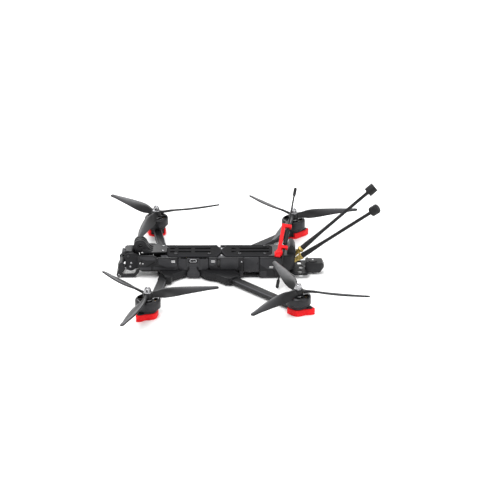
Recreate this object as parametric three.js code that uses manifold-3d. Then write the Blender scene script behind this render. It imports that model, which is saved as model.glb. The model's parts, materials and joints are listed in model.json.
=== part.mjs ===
// Long-range quadcopter for first-person-view flying, 7.5 inch propellers.
// Units are millimetres. +X is forward, +Y is left, +Z is up. The origin is on the underside of
// the bottom plate, midway between the four motor axes.
import * as THREE from 'three';
import { mergeVertices } from 'three/addons/utils/BufferGeometryUtils.js';
import Module from 'manifold-3d';

const wasm = await Module();
wasm.setup();

// ---- driving dimensions -------------------------------------------------------------------
const GAP = 0.3;                       // clearance between touching pieces
const PROP_R = 95.25;                  // 7.5 inch propeller
const PROP_PITCH = 94;                 // 3.7 inch pitch
const PROP_Z = 29;                     // middle plane of the propellers
const FRONT_MOTOR = { x: 99.1, y: 134.1 };
const REAR_MOTOR = { x: -99.1, y: 124.2 };
const FRONT_ARM_ROOT_X = 77.3;         // where the front arm axes meet the centreline
const REAR_ARM_ROOT_X = 25.1;          // where the rear arm axes meet the centreline
const ARM_HALF = 5.9;
const ARM_BOTTOM = 0.3;
const ARM_TOP = 7.5;
const BASE_T = 2.2;                    // bottom plate
const MID_Z = ARM_TOP + GAP;           // mid plate underside
const MID_TOP = 10.6;
const TOP_Z = 28.8;                    // top plates
const TOP_T = 3;
const BODY_HALF = 18.4;                // half-width of the plates between the side panels
const PANEL_IN = 18.8;                 // side panels
const PANEL_OUT = 21.2;
const PANEL_TOP = 29.9;
const PANEL_LOW = MID_TOP + GAP;
const MOTOR_R = 17;                    // 28 mm stator class motor
const BELL_LOW = 12.2;
const BELL_TOP = 24.5;
const SHAFT_R = 2.5;
const SHAFT_TOP = 41.3;
const HUB_LOW = 25.1;                  // propeller hub
const HUB_TOP = 32.8;
const HUB_R = 6.6;
const NUT_TOP = 39.4;
const PAD_LOW = -2.5;                  // the rubber pads carry the aircraft
const PAD_TOP = 6.4;

// ---- materials -----------------------------------------------------------------------------
const finish = (color, roughness, metalness) => ({ color, roughness, metalness });
const CARBON = finish(0x232325, 0.5, 0.1);
const BLACK_PLASTIC = finish(0x2a2a2c, 0.6, 0.0);
const PROP_PLASTIC = finish(0x3a3a3c, 0.4, 0.0);
const RED_TPU = finish(0xd8202c, 0.55, 0.0);
const BLACK_METAL = finish(0x28282b, 0.35, 0.8);
const STEEL = finish(0xb8b8ba, 0.3, 1.0);
const BRASS = finish(0x9a8545, 0.35, 1.0);
const BOARD = finish(0x15181a, 0.5, 0.0);
const RUBBER = finish(0x1a1a1b, 0.7, 0.0);
const HEAT_SINK = finish(0x3c3e42, 0.4, 0.9);

// ---- solids: three.js geometry in, three.js geometry out -------------------------------------
// A geometry that came out of a boolean is welded already, and keeps its own list of joined
// vertices.
function toSolid(geometry) {
  if (geometry.userData.joined) return makeSolid(geometry, geometry.userData.joined);
  const bare = geometry.clone();
  bare.deleteAttribute('normal');
  bare.deleteAttribute('uv');
  return makeSolid(mergeVertices(bare, 1e-4), {});
}

function makeSolid(geometry, joined) {
  return new wasm.Manifold(new wasm.Mesh({
    numProp: 3,
    vertProperties: Float32Array.from(geometry.attributes.position.array),
    triVerts: Uint32Array.from(geometry.index.array),
    ...joined,
  }));
}

function toGeometry(solid) {
  const mesh = solid.getMesh();
  const geometry = new THREE.BufferGeometry();
  const places = Float32Array.from(mesh.vertProperties);
  const triangles = Uint32Array.from(mesh.triVerts);
  geometry.setAttribute('position', new THREE.BufferAttribute(places, 3));
  geometry.setIndex(new THREE.BufferAttribute(triangles, 1));
  geometry.userData.joined = { mergeFromVert: mesh.mergeFromVert, mergeToVert: mesh.mergeToVert };
  return geometry;
}

const join = (...geometries) => (
  toGeometry(geometries.map(toSolid).reduce((a, b) => a.add(b))));
const cut = (body, ...tools) => (
  toGeometry(tools.map(toSolid).reduce((a, b) => a.subtract(b), toSolid(body))));

// A closed outline with rounded corners. radius may be one number or one per corner.
function outline(points, radius = 0, Kind = THREE.Shape) {
  const shape = new Kind();
  const count = points.length;
  points.forEach(([x, y], i) => {
    const r = Array.isArray(radius) ? radius[i] : radius;
    const [px, py] = points[(i + count - 1) % count];
    const [nx, ny] = points[(i + 1) % count];
    const back = Math.hypot(px - x, py - y);
    const ahead = Math.hypot(nx - x, ny - y);
    const start = [x + ((px - x) * r) / back, y + ((py - y) * r) / back];
    const end = [x + ((nx - x) * r) / ahead, y + ((ny - y) * r) / ahead];
    if (i === 0) shape.moveTo(...start);
    else shape.lineTo(...start);
    if (r > 0) shape.quadraticCurveTo(x, y, ...end);
  });
  shape.closePath();
  return shape;
}

const corners = (x0, x1, y0, y1) => [[x0, y0], [x1, y0], [x1, y1], [x0, y1]];
const rect = (x0, x1, y0, y1, r = 0) => outline(corners(x0, x1, y0, y1), r);
const hole = (points, r = 0) => outline(points, r, THREE.Path);

function disc(x, y, r, Kind = THREE.Shape) {
  const shape = new Kind();
  shape.absarc(x, y, r, 0, Math.PI * 2, false);
  return shape;
}

// An outline in XY made solid from z0 to z1, with an optional edge chamfer.
function slab(shape, z0, z1, chamfer = 0, curveSegments = 1) {
  const geometry = new THREE.ExtrudeGeometry(shape, {
    depth: z1 - z0 - 2 * chamfer,
    curveSegments,
    bevelEnabled: chamfer > 0,
    bevelThickness: chamfer,
    bevelSize: chamfer,
    bevelOffset: -chamfer,
    bevelSegments: 1,
  });
  return geometry.translate(0, 0, z0 + chamfer);
}

// An outline in XZ made solid from y0 to y1.
const wall = (shape, y0, y1, chamfer = 0, segments = 1) => (
  slab(shape, -y1, -y0, chamfer, segments).rotateX(Math.PI / 2));
// The same wall on the left (side = 1) or the right (side = -1).
const sideWall = (side, shape, inner, outer, segments = 1) => (
  side > 0 ? wall(shape, inner, outer, 0, segments) : wall(shape, -outer, -inner, 0, segments));

function block(x0, x1, y0, y1, z0, z1) {
  const box = new THREE.BoxGeometry(x1 - x0, y1 - y0, z1 - z0);
  return box.translate((x0 + x1) / 2, (y0 + y1) / 2, (z0 + z1) / 2);
}

// A round post standing along Z.
function post(x, y, r, z0, z1, sides = 16) {
  const bar = new THREE.CylinderGeometry(r, r, z1 - z0, sides).rotateX(Math.PI / 2);
  return bar.translate(x, y, (z0 + z1) / 2);
}

// A profile of [radius, z] points turned about Z.
function turned(profile, sides = 24) {
  const points = profile.map(([r, z]) => new THREE.Vector2(r, z));
  return new THREE.LatheGeometry(points, sides).rotateX(Math.PI / 2);
}

// ---- assembly --------------------------------------------------------------------------------
const group = new THREE.Group();

function add(name, geometry, look, parent = group) {
  const mesh = new THREE.Mesh(geometry, new THREE.MeshStandardMaterial(look));
  mesh.name = name;
  parent.add(mesh);
  return mesh;
}

const SIDES = [['left', 1], ['right', -1]];
const mirrored = (points, side) => points.map(([x, y]) => [x, y * side]);
// A closed outline given by its left half, from front to back.
const symmetric = (half) => [...half, ...mirrored(half, -1).reverse()];

// ---- arms --------------------------------------------------------------------------------------
// An arm runs from its root on the centreline to the motor seat. u points out along the arm and
// v across it; both are unit vectors on the left side.
// lean is the sign of v towards the near end of the aircraft.
function armAxes(motor, rootX, lean) {
  const length = Math.hypot(motor.x - rootX, motor.y);
  const u = [(motor.x - rootX) / length, motor.y / length];
  return { length, u, v: [-u[1], u[0]], root: [rootX, 0], lean, motor };
}

const FRONT_ARM = armAxes(FRONT_MOTOR, FRONT_ARM_ROOT_X, -1);
const REAR_ARM = armAxes(REAR_MOTOR, REAR_ARM_ROOT_X, 1);
const along = (arm, u, v) => [0, 1].map((i) => arm.root[i] + arm.u[i] * u + arm.v[i] * v);

// A length of the arm, as four corners on the left side.
const armStrip = (arm, half, from, to) => corners(from, to, -half, half).map(([u, v]) => along(arm, u, v));

// The end of an arm about its motor axis, with a long toe on the side towards the near end of the
// aircraft. Full size it is the foot pad, scaled down it is the seat and the pocket around it.
const END_OUTLINE = [[-14.5, -5], [-8.5, -12.6], [4, -12.6], [9, -10.4], [11.8, -4], [12.6, 0],
  [19.2, 7.6], [19.6, 12.4], [12, 14], [-7.5, 12.6], [-14.5, 5]];
const SEAT_SCALE = 0.86;
const POCKET_SCALE = 0.887;

function endOutline(arm, side, scale) {
  const points = END_OUTLINE.map(([u, w]) => along(arm, arm.length + u * scale, arm.lean * w * scale));
  return outline(mirrored(points, side), 2 * scale);
}

// The widened root starts clear of the centreline, where the opposite arm lies. It is thinner
// below, where the bottom plate lies, and wide as far as rootTo.
function armGeometry(arm, side, { rootHalf, rootFrom, rootTo }) {
  const piece = (half, from, to, low, chamfer) => (
    slab(outline(mirrored(armStrip(arm, half, from, to), side)), low, ARM_TOP, chamfer));
  const root = piece(rootHalf, rootFrom, rootTo, BASE_T + GAP, 0);
  const neck = piece(ARM_HALF - 0.4, rootTo - 6, rootTo + 6, BASE_T + GAP, 0);
  const bar = piece(ARM_HALF, rootTo + 1.4, arm.length, ARM_BOTTOM, 1.1);
  const seat = slab(endOutline(arm, side, SEAT_SCALE), ARM_BOTTOM, ARM_TOP, 0, 2);
  return join(root, neck, bar, seat);
}

// ---- foot pads ---------------------------------------------------------------------------------
// A soft cup around the end of each arm, open inboard where the arm comes in.
function padGeometry(arm, side) {
  const cup = slab(endOutline(arm, side, 1), PAD_LOW, PAD_TOP, 0.6, 2);
  const pocket = slab(endOutline(arm, side, POCKET_SCALE), 0, 9, 0, 2);
  const opening = (from, to, half) => (
    slab(outline(mirrored(armStrip(arm, half, arm.length + from, arm.length + to), side)), 0, 9));
  return cut(cup, pocket, opening(-20, 0, ARM_HALF + GAP), opening(-20, -8.5, 20));
}

// ---- motors ------------------------------------------------------------------------------------
const MOTOR_SIDES = 22;

// The fixed base, with the stator above it.
function motorBaseGeometry() {
  return turned([[3.2, ARM_TOP + GAP], [13.5, ARM_TOP + GAP], [13.5, 11.4], [8, 11.7], [8, 13.2],
    [14.8, 13.2], [14.8, 21.4], [3.2, 21.4], [3.2, ARM_TOP + GAP]], MOTOR_SIDES);
}

// The bell, open below, with the shaft through its middle and a seat for the propeller.
function bellGeometry() {
  return turned([[0, 9], [SHAFT_R, 9], [SHAFT_R, 22.2], [16, 22.2], [16, BELL_LOW], [MOTOR_R, BELL_LOW],
    [MOTOR_R, BELL_TOP - 1.6], [MOTOR_R - 1.6, BELL_TOP], [HUB_R, BELL_TOP], [HUB_R, HUB_LOW - GAP],
    [SHAFT_R, HUB_LOW - GAP], [SHAFT_R, SHAFT_TOP], [0, SHAFT_TOP]], MOTOR_SIDES);
}

// ---- propellers --------------------------------------------------------------------------------
const BLADE_ROOT = 4.5;
// Chord against the distance from the hub's centre, as a share of the radius.
const CHORD = [[0, 8.5], [0.12, 11], [0.2, 14.6], [0.34, 16.8], [0.5, 15.6], [0.68, 12.9], [0.85, 9.4],
  [0.96, 6.6], [1, 4.6]];

function chordAt(t) {
  const i = Math.min(CHORD.findIndex(([at]) => at >= t - 1e-9), CHORD.length - 1);
  if (i <= 0) return CHORD[0][1];
  const [t0, c0] = CHORD[i - 1];
  const [t1, c1] = CHORD[i];
  return c0 + ((c1 - c0) * (t - t0)) / (t1 - t0);
}

// One blade along +X. The section is extruded along the span, then each station takes its own
// chord, thickness, twist and sweep. lead is +1 when the leading edge faces +Y.
function bladeGeometry(lead) {
  const section = outline(
    [[-0.42, 0], [-0.25, 0.45], [0.15, 0.5], [0.58, 0], [0.15, -0.26], [-0.25, -0.28]]);
  const span = PROP_R - BLADE_ROOT;
  const blade = new THREE.ExtrudeGeometry(section, { depth: span, steps: 8, bevelEnabled: false });
  const place = blade.attributes.position;
  for (let i = 0; i < place.count; i += 1) {
    const t = place.getZ(i) / span;
    const r = BLADE_ROOT + place.getZ(i);
    const chord = chordAt(r / PROP_R);
    const thick = 3.4 - 2.5 * Math.sqrt(t);
    const pitch = Math.min(Math.atan(PROP_PITCH / (2 * Math.PI * r)), 0.62);
    const across = -place.getX(i) * chord + 1.6 * Math.sin(t * Math.PI) - 2.4 * t * t;
    const up = place.getY(i) * thick;
    const y = lead * (across * Math.cos(pitch) - up * Math.sin(pitch));
    const z = across * Math.sin(pitch) + up * Math.cos(pitch) + 1.2 * t;
    place.setXYZ(i, r, y, z);
  }
  if (lead < 0) return blade;
  return flipped(blade);
}

// Reverses the winding of a geometry whose placement mirrored it.
function flipped(geometry) {
  const turnedOver = geometry.index ? geometry.toNonIndexed() : geometry.clone();
  const place = turnedOver.attributes.position;
  for (let i = 0; i < place.count; i += 3) {
    const [x, y, z] = [place.getX(i), place.getY(i), place.getZ(i)];
    place.setXYZ(i, place.getX(i + 1), place.getY(i + 1), place.getZ(i + 1));
    place.setXYZ(i + 1, x, y, z);
  }
  return turnedOver;
}

function propellerGeometry(spin, firstBlade) {
  const bore = SHAFT_R + GAP;
  const hub = turned([[bore, HUB_LOW], [HUB_R, HUB_LOW], [HUB_R, HUB_TOP - 0.8], [HUB_R - 0.8, HUB_TOP],
    [bore, HUB_TOP], [bore, HUB_LOW]], 16);
  const borehole = post(0, 0, bore, HUB_LOW - 1, HUB_TOP + 1, 16);
  const blades = [0, 1, 2].map((i) => (
    bladeGeometry(spin).rotateZ(firstBlade + (i * 2 * Math.PI) / 3).translate(0, 0, PROP_Z)));
  return cut(join(hub, ...blades), borehole);
}

function nutGeometry() {
  const low = HUB_TOP + GAP;
  const bore = SHAFT_R + GAP;
  const collar = turned([[bore, low], [5.4, low], [5.4, low + 1], [4, low + 1], [4, NUT_TOP],
    [bore, NUT_TOP], [bore, low]], 12);
  const across = [0, 1, 2, 3, 4, 5].map((i) => (i * Math.PI) / 3);
  const flats = outline(across.map((angle) => [4.6 * Math.cos(angle), 4.6 * Math.sin(angle)]));
  const hex = slab(flats, low + 0.5, NUT_TOP - 1.8);
  return join(collar, cut(hex, post(0, 0, bore, low, NUT_TOP, 12)));
}

const FRONT_ROOT = { rootHalf: 6.4, rootFrom: 8.2, rootTo: 43 };
const REAR_ROOT = { rootHalf: 11.2, rootFrom: 16.2, rootTo: 56.4 };

// spin is +1 for counter-clockwise seen from above; blade is the angle of the first blade.
const CORNERS = [
  { name: 'front_left', arm: FRONT_ARM, root: FRONT_ROOT, side: 1, spin: 1, blade: 73.6 },
  { name: 'front_right', arm: FRONT_ARM, root: FRONT_ROOT, side: -1, spin: -1, blade: 75.6 },
  { name: 'rear_left', arm: REAR_ARM, root: REAR_ROOT, side: 1, spin: -1, blade: 47.6 },
  { name: 'rear_right', arm: REAR_ARM, root: REAR_ROOT, side: -1, spin: 1, blade: 72.7 },
];

function addCorner({ name, arm, root, side, spin, blade }) {
  add(`arm_${name}`, armGeometry(arm, side, root), CARBON);
  add(`foot_pad_${name}`, padGeometry(arm, side), RED_TPU);
  const corner = new THREE.Group();
  corner.position.set(arm.motor.x, arm.motor.y * side, 0);
  group.add(corner);
  add(`motor_base_${name}`, motorBaseGeometry(), BLACK_METAL, corner);
  add(`motor_bell_${name}`, bellGeometry(), BLACK_METAL, corner);
  const firstBlade = THREE.MathUtils.degToRad(blade);
  add(`propeller_${name}`, propellerGeometry(spin, firstBlade), PROP_PLASTIC, corner);
  add(`prop_nut_${name}`, nutGeometry(), STEEL, corner);
}

// ---- centre frame ------------------------------------------------------------------------------
// Left half of the arch between the arms: the front arm's root, the waist, the rear arm's root.
const ARCH = [[86, 24], [79.6, 42], [72.1, 42], [70, 32.2], [63.3, 27.6], [52, 18.4], [32.6, 18.4],
  [26.6, 26.8], [18.5, 31.1], [11.2, 32.6], [-1.2, 43.9], [-3.7, 45.4], [-10.2, 45.5], [-20.4, 35.3],
  [-20.3, 28.8], [-14, 18.4]];

function bottomPlateGeometry() {
  const shape = outline(symmetric([[92, 12], [88, 18.4], ...ARCH, [-84, 18.4], [-88, 14]]), 0.8);
  const plate = slab(shape, 0, BASE_T);
  const window = (x0, x1, half, r) => slab(rect(x0, x1, -half, half, r), -1, 4);
  const windows = [window(50, 66, 4, 2), window(-42, -22, 11, 3), window(-70, -48, 11, 3)];
  const lug = block(88.2, 91.6, -11.5, 11.5, 1, MID_Z - GAP);
  return join(cut(plate, ...windows), lug);
}

// The mid plate has a core below it that fills the space around the arm roots.
function midPlateGeometry() {
  const nose = [[116.2, 14], [112, 18.4]];
  const shape = outline(symmetric([...nose, [89, 18.4], ...ARCH, [-90, 18.4]]), 0.8);
  shape.holes.push(hole(corners(102, 114, -11, 11), 3));
  shape.holes.push(hole(corners(-74, -52, -10, 10), 3));
  const plate = slab(shape, MID_Z, MID_TOP);
  const core = slab(outline(symmetric(ARCH), 0.8), BASE_T + GAP, MID_Z + 0.5);
  const armClearance = CORNERS.map(({ arm, root, side }) => (
    slab(outline(mirrored(armStrip(arm, root.rootHalf + GAP, 0, 80), side)), 0, MID_Z)));
  return join(plate, cut(core, ...armClearance));
}

const slotHole = (x0, x1, y) => hole(corners(x0, x1, y - 2.2, y + 2.2), 1.2);
const standoff = (x, y, top) => post(x, y, 2.6, PANEL_LOW, top, 8);
const standoffs = (xs, y, top) => xs.flatMap((x) => [standoff(x, y, top), standoff(x, -y, top)]);

// The front end has a lip below it that reaches forward to the nose.
function frontTopGeometry() {
  const shape = outline(symmetric([[81.5, 3], [75, BODY_HALF], [9.4, BODY_HALF], [3.6, 5]]), 0.6);
  [-5.2, 5.2].forEach((y) => {
    [[67.8, 74.5], [45, 63.2], [18.5, 40.3]].forEach(([x0, x1]) => shape.holes.push(slotHole(x0, x1, y)));
  });
  const lipShape = outline(symmetric([[87, 10], [84, 17.8], [71, 17.8], [69, 12]]), 0.6);
  const lip = cut(slab(lipShape, TOP_Z - 2, TOP_Z + 0.5), block(60, 80, -9, 9, TOP_Z - 3, TOP_Z + 1));
  return join(slab(shape, TOP_Z, TOP_Z + TOP_T), lip, ...standoffs([66, 20], 13, TOP_Z + 1));
}

function rearTopGeometry() {
  const shape = outline(symmetric([[3, 5], [-2.8, BODY_HALF], [-59.6, BODY_HALF], [-66, 12]]), 0.6);
  [-1, 1].forEach((s) => {
    const chevron = [[-10.2, 3], [-10.2, 7.4], [-13, 7.4], [-17.4, 4.4], [-17.4, 3]];
    shape.holes.push(hole(mirrored(chevron, s), 0.5));
    shape.holes.push(slotHole(-62.4, -21.3, 5.2 * s));
  });
  return join(slab(shape, TOP_Z, TOP_Z + TOP_T), ...standoffs([-21.5, -56.5], 13, TOP_Z + 1));
}

// The plate under the joint of the two top plates.
function bridgeGeometry() {
  const shape = outline(symmetric([[14, 12], [11, 17.4], [-4.4, 17.4], [-7.4, 12]]), 0.6);
  shape.holes.push(hole(corners(-2, 8.6, -7, 7), 1.5));
  const plate = slab(shape, TOP_Z - GAP - 2.4, TOP_Z - GAP);
  return join(plate, ...standoffs([3.3], 12.5, TOP_Z - 1.5));
}

// ---- side panels, drawn in XZ -------------------------------------------------------------------
const NOSE_PANEL = [[118, 31], [115.6, 32.8], [97, 32.8], [91.3, PANEL_TOP], [91.3, 21.6], [98.6, 17.4],
  [98.6, PANEL_LOW], [117.4, PANEL_LOW]];
const NOSE_WINDOW = [[109.4, 18.2], [116, 18.2], [115.4, 24.6], [112.6, 25.4]];
const FRONT_PANEL = [[91, PANEL_TOP], [63.3, PANEL_TOP], [63.3, PANEL_LOW], [98.3, PANEL_LOW], [98.3, 17.2],
  [91, 21.4]];
const COLUMN = [[33.6, 28.6], [50.9, 28.6], [50.9, 22], [47.4, 15.8], [47.4, 13.6], [50.6, 7], [50.6, 0],
  [33.4, 0], [33.4, 7], [37.6, 13.6], [37.6, 15.8], [33.6, 22]];
const PORT = corners(38.2, 46.1, 23.9, 27.1);
const MID_PANEL = [[21, PANEL_TOP], [9.2, PANEL_TOP], [9.2, 14.2], [5.4, 14.2], [5.4, PANEL_TOP],
  [-26.8, PANEL_TOP], [-26.8, 0], [-20.8, 0], [-20.8, PANEL_LOW], [17.5, PANEL_LOW], [21, 15]];
const HATCH_PANEL = [[-27.4, 29.6], [-48, 29.6], [-48, 8], [-27.4, 8]];
const REAR_PANEL = [[-48.6, PANEL_TOP], [-79, PANEL_TOP], [-79, 6], [-74, 0], [-48.6, 0]];

// The column stands on the waist of the frame, with a thin wing on each side and a port above.
function columnGeometry(side) {
  const wing = outline([[21.5, 13], [24, PANEL_LOW], [60.5, PANEL_LOW], [62.8, 13], [62.8, 27.4],
    [21.5, 27.4]], 0.6);
  const column = sideWall(side, outline(COLUMN, 0.8), PANEL_IN, PANEL_OUT + 0.5);
  const port = sideWall(side, outline(PORT, 1.2), 17, 24);
  const underArch = sideWall(side, rect(22, 62, -3, PANEL_LOW), 17, 19.2);
  return cut(join(sideWall(side, wing, PANEL_IN, PANEL_IN + 1.2), column), port, underArch);
}

function addSidePanels([word, side]) {
  const nose = outline(NOSE_PANEL, 0.8);
  nose.holes.push(hole(NOSE_WINDOW, 0.8));
  const hatch = outline(HATCH_PANEL, 0.8);
  hatch.holes.push(disc(-46, 21, 0.9, THREE.Path));
  const plain = {
    nose,
    front: outline(FRONT_PANEL, 0.6),
    mid: outline(MID_PANEL, 0.6),
    rear: outline(REAR_PANEL, 0.8),
  };
  Object.entries(plain).forEach(([name, shape]) => {
    add(`${name}_panel_${word}`, sideWall(side, shape, PANEL_IN, PANEL_OUT), BLACK_PLASTIC);
  });
  add(`port_column_${word}`, columnGeometry(side), BLACK_PLASTIC);
  add(`hatch_panel_${word}`, sideWall(side, hatch, PANEL_IN, PANEL_OUT - 0.5, 2), BLACK_PLASTIC);
}

// ---- nose: cage, bumper, camera, action camera mount ---------------------------------------------
const CAGE_IN = 11.2;
const CAGE_OUT = 14;
const CAMERA_PIVOT = { x: 131.5, z: 29 };
const PIN_R = 1;                       // the pins the camera tilts on

function cageGeometry(side) {
  const disk = sideWall(side, disc(128.5, 14.2, 7), CAGE_IN, CAGE_OUT, 8);
  const web = outline([[104, PANEL_LOW], [119.5, PANEL_LOW], [124, 9.6], [135.4, 12.5], [135.8, 20],
    [136, 30], [133, 33.4], [124, 33.4], [118, 30.6], [104, 29]], 1.6);
  web.holes.push(hole([[109.4, 15.6], [118.4, 15.6], [117.4, 25.4], [112.6, 25.4]], 1.6));
  const screwHoles = [[127.6, 19.2], [129, 13.6]].map(([x, z]) => (
    sideWall(side, disc(x, z, 1.1), 9, 16, 2)));
  const pivot = sideWall(side, disc(CAMERA_PIVOT.x, CAMERA_PIVOT.z, PIN_R + 0.35), 9, 16, 3);
  return cut(join(disk, sideWall(side, web, CAGE_IN, CAGE_OUT)), ...screwHoles, pivot);
}

const BUMPER_LOW = -1;
const LOOP = [[139.5, 21.5], [145.2, 18], [145.6, 14.6], [144.4, 11.4], [147.2, 6.4], [148.6, 2],
  [146.4, BUMPER_LOW], [122.8, BUMPER_LOW], [116.6, 6.6], [116.6, 10.3], [120.4, 10.3], [123.4, 3.2],
  [140.4, 3.2], [140.4, 5.4], [136.4, 10], [136.6, 14]];

// Two open loops around the ends of the cage, tied together by two bars.
function bumperGeometry() {
  const loops = SIDES.map(([, side]) => sideWall(side, outline(LOOP, 1), CAGE_OUT + GAP, 17.2));
  const lowBar = [[141.4, BUMPER_LOW], [146.4, BUMPER_LOW], [148.4, 2], [147.2, 4.6], [141.4, 4.6]];
  const highBar = [[139.8, 17.4], [144.8, 16.6], [144.6, 13.6], [139.8, 13.2]];
  const bars = [lowBar, highBar].map((points) => wall(outline(points, 0.8), -15, 15));
  return join(...loops, ...bars);
}

const CAMERA_TILT = 8;                 // degrees of up-tilt at rest

// The camera, drawn about its tilt pins and looking along +X.
function cameraGeometry() {
  const profile = [[-6, -6], [-4, -8], [3.6, -8], [5.4, -6], [5.4, 4.2], [3.6, 6], [-4, 6], [-6, 4]];
  const body = wall(outline(profile, 0.8), -9.6, 9.6, 0.6);
  const barrel = turned([[0, 4], [6.8, 4], [6.8, 6], [5.8, 6.8], [5.8, 9.4], [5, 10], [5, 8.2], [0, 7.6]], 20)
    .rotateY(Math.PI / 2).translate(-0.6, 0, -1);
  const reach = CAGE_OUT - 2 * GAP;
  const pins = post(0, 0, PIN_R, -reach, reach, 10).rotateX(Math.PI / 2);
  return join(body, barrel, pins);
}

function addNose() {
  SIDES.forEach(([word, side]) => add(`camera_cage_${word}`, cageGeometry(side), CARBON));
  add('front_bumper', bumperGeometry(), BLACK_PLASTIC);
  const camera = add('fpv_camera', cameraGeometry(), BLACK_PLASTIC);
  camera.position.set(CAMERA_PIVOT.x, 0, CAMERA_PIVOT.z);
  camera.rotation.y = -THREE.MathUtils.degToRad(CAMERA_TILT);
  add('action_camera_mount', actionMountGeometry(), BLACK_PLASTIC);
}

// Three fingers for an action camera on a base screwed over the nose.
const FINGER = { x: 115, z: 41, r: 9.3, t: 3, pitch: 6 };

function actionMountGeometry() {
  const base = slab(outline(symmetric([[111, 13], [96, 13], [84, 11.8], [78.6, 11.4]]), 1.2), 33.1, 34.6);
  const step = [[112, 34], [98.6, 34], [100.6, 35.8], [104, 36.2], [106, 38], [112, 38]];
  const riser = wall(outline(step, 0.6), -12, 12);
  const web = [[116, 33.6], [97.4, 33.6], [97.4, 34.8], [100.8, 36.6], [104.2, 40], [107, 46], [116, 45]];
  const fingers = [-FINGER.pitch, 0, FINGER.pitch].flatMap((y) => {
    const span = [y - FINGER.t / 2, y + FINGER.t / 2];
    return [wall(disc(FINGER.x, FINGER.z, FINGER.r), ...span, 0, 12), wall(outline(web, 0.5), ...span)];
  });
  const bolt = wall(disc(FINGER.x, FINGER.z, 2.6), -12, 12, 0, 6);
  const gaps = [-3, 3].map((y) => (
    block(FINGER.x - 8.5, FINGER.x + 12, y - FINGER.t / 2, y + FINGER.t / 2, 35.6, 55)));
  return cut(join(base, riser, ...fingers), bolt, ...gaps);
}

// ---- electronics ---------------------------------------------------------------------------------
// A square board with its components, each given as x0, x1, y0, y1 and height.
function boardGeometry(x, half, z, parts) {
  const board = slab(rect(x - half, x + half, -half, half, 2), z, z + 1.6);
  const chips = parts.map(([x0, x1, y0, y1, h]) => block(x + x0, x + x1, y0, y1, z + 1.2, z + 1.6 + h));
  return join(board, ...chips);
}

// The video transmitter's case, with cooling fins on top.
function transmitterGeometry() {
  const caseBox = block(-51.5, -26.5, -14, 14, 12.4, 21);
  const fins = [];
  for (let i = 0; i < 6; i += 1) fins.push(block(-51 + i * 4.3, -49 + i * 4.3, -13.5, 13.5, 20.5, 26));
  return join(caseBox, ...fins);
}

function addElectronics() {
  const switches = [[-14, 14, -15, -7, 1.6], [-14, 14, 7, 15, 1.6], [-5, 5, -4, 4, 1.2]];
  const processor = [[-4, 4, 12, 17, 3], [-6, 6, -7, 5, 1.4]];
  const can = turned([[0, -9], [4.6, -9], [5, -8.4], [5, 8.4], [4.6, 9], [0, 9]], 18);
  add('speed_controller', boardGeometry(42, 17.6, 12.6, switches), BOARD);
  add('flight_controller', boardGeometry(42, 17.6, 20.6, processor), BOARD);
  add('video_transmitter', transmitterGeometry(), HEAT_SINK);
  add('receiver', boardGeometry(-71, 7.6, 13.4, [[-5, 5, -6, 2, 1.6]]), BOARD);
  add('power_capacitor', can.rotateY(Math.PI / 2).translate(-6, 0, 17), RUBBER);
}

// ---- tail ------------------------------------------------------------------------------------------
const STICK = { x: -104, y: 11, z: 25.5, reach: 130.5 };
const STICK_AIM = new THREE.Vector3(-99.5, 24.3, 81).normalize();

// A tapered sleeve, a thin rod and a square-shouldered cap.
function stickGeometry(capEdge) {
  const top = STICK.reach + 6.4;
  const low = STICK.reach - 6.4;
  const profile = [[0, 5.4], [3.7, 5.4], [3.7, 9], [3.5, 18], [2.8, 30], [2.35, 40], [2.35, low],
    [6.7 - capEdge, low], [6.7, low + capEdge], [6.7, top - capEdge], [6.7 - capEdge, top], [0, top]];
  return turned(profile, 16);
}

const CONNECTOR = [[1.2, -9], [3.1, -9], [3.1, -3], [4.1, -3], [4.1, -0.8], [3.3, -0.8], [3.3, 1],
  [4.4, 1], [4.4, 4.6], [3.8, 5.1], [1.2, 5.1], [1.2, -9]];

function stickAim(side) {
  const aim = new THREE.Vector3(STICK_AIM.x, STICK_AIM.y * side, STICK_AIM.z);
  return new THREE.Quaternion().setFromUnitVectors(new THREE.Vector3(0, 0, 1), aim);
}

const DECK_TOP = 31.2;
// The black tail housing: a deck behind the rear plate, two cheeks, and a hump over the sockets.
function holderGeometry() {
  const deckShape = symmetric([[-66.5, 12.2], [-60.3, BODY_HALF], [-93, BODY_HALF], [-97, 14]]);
  const boxShape = symmetric([[-79.6, 20.6], [-92, 20.6], [-97.4, 15]]);
  const humpShape = [[-84, 24], [-88.5, 38], [-91, 44], [-94.5, 43.6], [-98, 38.5], [-98.8, 32],
    [-98, 16], [-94, PANEL_LOW + 0.5], [-84, PANEL_LOW + 0.5]];
  const hollowShape = [[-60, 9], [-60, TOP_Z - 0.1], [-80, TOP_Z - 0.1], [-92, 26], [-92, 9]];
  const deck = slab(outline(deckShape, 1.2), TOP_Z, DECK_TOP);
  const box = slab(outline(boxShape, 0.8), PANEL_LOW, 30);
  const hump = wall(outline(humpShape, 1), -12, 12);
  const hollow = wall(outline(hollowShape, 0.5), -16, 16);
  const ports = SIDES.map(([, side]) => {
    const port = post(0, 0, 3.5, -14, 14, 12).applyQuaternion(stickAim(side));
    return port.translate(STICK.x, STICK.y * side, STICK.z);
  });
  return cut(join(deck, box, hump), hollow, ...ports);
}

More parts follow.
